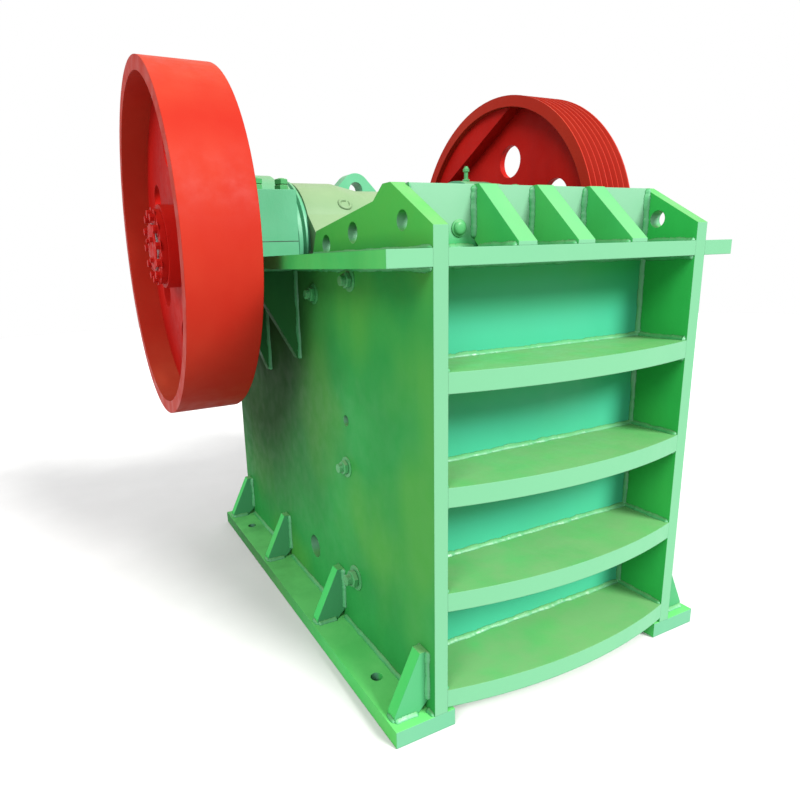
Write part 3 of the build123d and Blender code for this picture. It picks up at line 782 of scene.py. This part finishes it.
# Bolts and nuts
def cheek_bolt_heads():
    """The ends of the bolts that hold the cheek plates and their wedge."""
    shape = Shape()
    for side in (-1, 1):
        for index, (back, level) in enumerate(cheek_bolts):
            place = (side * outer_x, front_y + back, level)
            stud_end(shape, place, (side, 0, 0), cheek_washer_radius, cheek_nut_flats,
                     cheek_stud_radius, 0.4 * index + 0.2 * side)
        place = (side * outer_x, front_y + wedge_bolt[0], wedge_bolt[1])
        stud_end(shape, place, (side, 0, 0), wedge_washer_radius, wedge_nut_flats,
                 wedge_stud_radius, 0.3)
    return shape


def wall_bolt_heads():
    """Domed heads in front of the wall, on washers."""
    shape = Shape()
    for x in wall_bolt_places:
        profile = [(0, wall_washer_radius), (0.004, wall_washer_radius), (0.005, wall_bolt_radius)]
        profile.append((0.4 * wall_bolt_height, wall_bolt_radius))
        for angle in (20, 40, 60, 75, 88):
            share = 0.4 + 0.6 * sin(radians(angle))
            profile.append((share * wall_bolt_height, wall_bolt_radius * cos(radians(angle)) ** 0.6))
        turn(shape, profile, (x, wall_y, wall_bolt_level), AHEAD, 36)
    return shape


def housing_studs():
    """Four double nuts on the ledges of each bearing cap."""
    shape = Shape()
    places = [(dy, spread) for dy in (-1, 1) for spread in (-stud_inner_spread, stud_outer_spread)]
    for side in (-1, 1):
        for index, (dy, spread) in enumerate(places):
            place = (side * cap_middle + side * spread, shaft_y + dy * stud_reach, ledge_level)
            double_nut(shape, place, UP, stud_nut_flats, stud_nut_height, 0.25 * index)
    return shape


def grease_fittings():
    """An upright filler with a screwed cap on the crown of each housing."""
    shape = Shape()
    for side in (-1, 1):
        centre = (side * cap_middle, shaft_y, cap_high.z)
        hexagon(shape, centre, UP, fitting_foot_flats, 0, fitting_foot_height, 0.2)
        turn(shape, fitting_stem, centre, UP, 24)
        hexagon(shape, centre, UP, fitting_cap_flats, fitting_cap_low, fitting_cap_high, 0.5)
        turn(shape, fitting_knob, centre, UP, 24)
    return shape


def barrel_curl():
    """A curl of weld on the front of the barrel, where a hole was filled."""
    shape = Shape()
    path = []
    for index in range(curl_steps):
        turned = radians(curl_start + curl_turn * index)
        size = curl_radius * (1 - 0.35 * index / curl_steps)
        x = curl_x + 1.1 * size * cos(turned)
        angle = radians(curl_angle) + size * sin(turned) / barrel_radius
        taper = min(1, max(0, (abs(x) - waist_half) / (shoulder - waist_half)))
        radius = waist_radius + taper * (barrel_radius - waist_radius)
        out = Vector((0, cos(angle), sin(angle)))
        path.append((Vector((x, shaft_y, shaft_z)) + out * radius, out))
    rings = []
    for index, (point, out) in enumerate(path):
        before, after = path[max(index - 1, 0)][0], path[min(index + 1, len(path) - 1)][0]
        across = out.cross((after - before).normalized())
        thick = curl_leg * (1 + 0.22 * noise.noise(point * fine_wave))
        thick *= min(1, 0.4 + 0.3 * min(index, len(path) - 1 - index))
        rings.append([point + (across * cos(radians(turned)) + out * sin(radians(turned))) * thick
                      for turned in curl_section])
    shape.rings(rings)
    return shape


def housing_joints():
    """The gasket in the split of each housing, a hair proud of it."""
    shape = Shape()
    for side in (-1, 1):
        xs = sorted((side * (cap_low.x - gasket_proud), side * (cap_high.x + gasket_proud)))
        ys = (cap_low.y - gasket_proud, cap_high.y + gasket_proud)
        ring = [(xs[0], ys[0]), (xs[1], ys[0]), (xs[1], ys[1]), (xs[0], ys[1])]
        rings = []
        for z in (shaft_z - gasket_half, shaft_z, shaft_z + gasket_half):
            grow = 0 if z == shaft_z else -gasket_round
            rings.append([(x + (grow if x > 0 else -grow), y, z) for x, y in ring])
        shape.rings(rings)
    return shape


def cover_bolts():
    """Bolts round the cover of each bearing."""
    shape = Shape()
    for side in (-1, 1):
        for index in range(cover_bolt_count):
            angle = 2 * pi * (index + 0.5) / cover_bolt_count
            place = (side * cover_face, shaft_y + cover_bolt_circle * cos(angle),
                     shaft_z + cover_bolt_circle * sin(angle))
            bolt(shape, place, (side, 0, 0), cover_bolt_flats, angle)
    return shape


def ring_bolts():
    """Bolts round the lock ring of each wheel."""
    shape = Shape()
    for low, high in solids("wheel_lock_rings"):
        side = 1 if low.x > 0 else -1
        face = high.x if side > 0 else low.x
        for index in range(ring_bolt_count):
            angle = 2 * pi * index / ring_bolt_count
            place = (face, shaft_y + ring_bolt_circle * cos(angle),
                     shaft_z + ring_bolt_circle * sin(angle))
            bolt(shape, place, (side, 0, 0), ring_bolt_flats, angle)
    return shape


def shaft_end_plates():
    """A raised centre with three screws on each end of the shaft."""
    shape = Shape()
    low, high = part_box("eccentric_shaft")
    for side, face in ((-1, low.x), (1, high.x)):
        centre = (face, shaft_y, shaft_z)
        turn(shape, end_plate_profile, centre, (side, 0, 0), 48)
        for index in range(end_screw_count):
            angle = 2 * pi * index / end_screw_count + 0.5
            place = (face + side * end_plate_thickness, shaft_y + end_screw_circle * cos(angle),
                     shaft_z + end_screw_circle * sin(angle))
            bolt(shape, place, (side, 0, 0), end_screw_flats, angle)
    return shape


def rod_nuts():
    """Two nuts behind the spring's seat and the thread that stands out of them."""
    shape = Shape()
    low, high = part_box("spring_seat")
    face = high.y
    centre = (0, face, (low.z + high.z) / 2)
    for start, stop, phase in rod_nuts_along:
        hexagon(shape, centre, BACK, rod_nut_flats, start, stop, phase)
    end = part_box("tension_rod")[1].y
    thread(shape, centre, BACK, rod_thread_radius, rod_thread_start, end - face - rod_thread_inset,
           rod_thread_pitch)
    return shape


def coil_spring():
    """The spring, its first and last turns wound flat."""
    shape = Shape()
    low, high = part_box("tension_spring")
    radius = (high.x - low.x) / 2 - spring_wire
    level = (low.z + high.z) / 2
    steps = spring_turns * spring_turn_steps
    start, end = low.y + spring_wire, high.y - spring_wire
    rings = []
    for index in range(steps + 1):
        share = index / steps
        eased = min(1, max(0, (share - spring_flat_share) / (1 - 2 * spring_flat_share)))
        angle = 2 * pi * spring_turns * share
        along = start + (end - start) * eased
        out = Vector((cos(angle), 0, sin(angle)))
        centre = Vector((0, along, level)) + out * radius
        ring = []
        for corner in range(spring_corners):
            turned = 2 * pi * corner / spring_corners
            ring.append(centre + (out * cos(turned) + BACK * sin(turned)) * spring_wire)
        rings.append(ring)
    shape.rings(rings)
    return shape


pieces = (
    ("front_bay_welds", front_welds(), weld_green, "frame", "frame_paint", weld_sharp),
    ("upper_gusset_welds", gusset_welds(), weld_green, "frame", "frame_paint", weld_sharp),
    ("left_side_welds", side_welds(-1), weld_green, "frame", "frame_paint", weld_sharp),
    ("right_side_welds", side_welds(1), weld_green, "frame", "frame_paint", weld_sharp),
    ("rear_welds", rear_welds(), weld_green, "frame", "frame_paint", weld_sharp),
    ("cheek_bolt_heads", cheek_bolt_heads(), bolt_green, "frame", "frame_paint"),
    ("wall_bolt_heads", wall_bolt_heads(), bolt_green, "frame", "frame_paint"),
    ("housing_studs", housing_studs(), bolt_green, "frame", "housing_paint"),
    ("grease_fittings", grease_fittings(), bolt_green, "frame", "housing_paint"),
    ("barrel_curl", barrel_curl(), barrel_green, "jaw", "jaw_paint", weld_sharp),
    ("housing_joints", housing_joints(), seal_black, "frame", "housing_paint"),
    ("cover_bolts", cover_bolts(), plated, "frame", "housing_paint"),
    ("lock_ring_bolts", ring_bolts(), web_red, "rotor", "wheel_paint"),
    ("shaft_end_plates", shaft_end_plates(), web_red, "rotor", "wheel_paint"),
    ("rod_nuts", rod_nuts(), plated, "frame", "shaft_steel"),
)
for piece in pieces:
    build(*piece)
coil = build("tension_coil", coil_spring(), spring_black, "frame", "spring_steel", weld_sharp)
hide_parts("tension_spring")


# Floor, light and camera
def stage():
    floor_shape = Shape()
    angles = [2 * pi * i / floor_sides for i in range(floor_sides)]
    ring = [(cos(angle) * floor_radius, sin(angle) * floor_radius) for angle in angles]
    floor_shape.rings([[(x, y, level) for x, y in ring] for level in (floor_bottom, floor_top)])
    material, nodes, links, shader = new_material("pale_floor")
    grain = ramp(nodes, links, noise_node(nodes, links, 3, 4), 0, 1)
    tone = mix(nodes, links, grain, floor_tone, floor_shade)
    links.new(tone, shader.inputs["Base Color"])
    shader.inputs["Roughness"].default_value = floor_roughness
    mesh = bpy.data.meshes.new("floor")
    mesh.from_pydata(floor_shape.verts, [], floor_shape.faces)
    mesh.materials.append(material)
    floor_object = bpy.data.objects.new("floor", mesh)
    scene.collection.objects.link(floor_object)


def sun_light(name, direction, spread, power, colour):
    data = bpy.data.lights.new(name, "SUN")
    data.angle = radians(spread)
    data.energy = power
    data.color = colour
    light = bpy.data.objects.new(name, data)
    light.rotation_euler = Vector(direction).to_track_quat("-Z", "Y").to_euler()
    scene.collection.objects.link(light)


def camera():
    """The photograph's own view, from its solved place, turns, focal length and centre."""
    right = Vector((cos(yaw), -sin(yaw), 0))
    ahead = Vector((sin(yaw) * cos(pitch), cos(yaw) * cos(pitch), -sin(pitch)))
    up = right.cross(ahead)
    across = right * cos(roll) + up * sin(roll)
    upward = up * cos(roll) - right * sin(roll)
    data = bpy.data.cameras.new("camera")
    data.sensor_width = sensor
    data.lens = focal / picture * sensor
    data.shift_x = (picture / 2 - centre_x) / picture
    data.shift_y = (centre_y - picture / 2) / picture
    data.clip_end = far_clip
    view = bpy.data.objects.new("camera", data)
    rows = Matrix((across, upward, -ahead)).transposed().to_4x4()
    rows.translation = Vector(camera_place)
    view.matrix_world = rows
    scene.collection.objects.link(view)
    scene.camera = view


def world_light(strength):
    world = bpy.data.worlds.new("studio")
    world.use_nodes = True
    background = world.node_tree.nodes["Background"]
    background.inputs["Color"].default_value = (1, 1, 1, 1)
    background.inputs["Strength"].default_value = strength
    scene.world = world


stage()
camera()
world_light(sky_strength)
for sun in suns:
    sun_light(*sun)
scene.view_settings.view_transform = "Standard"
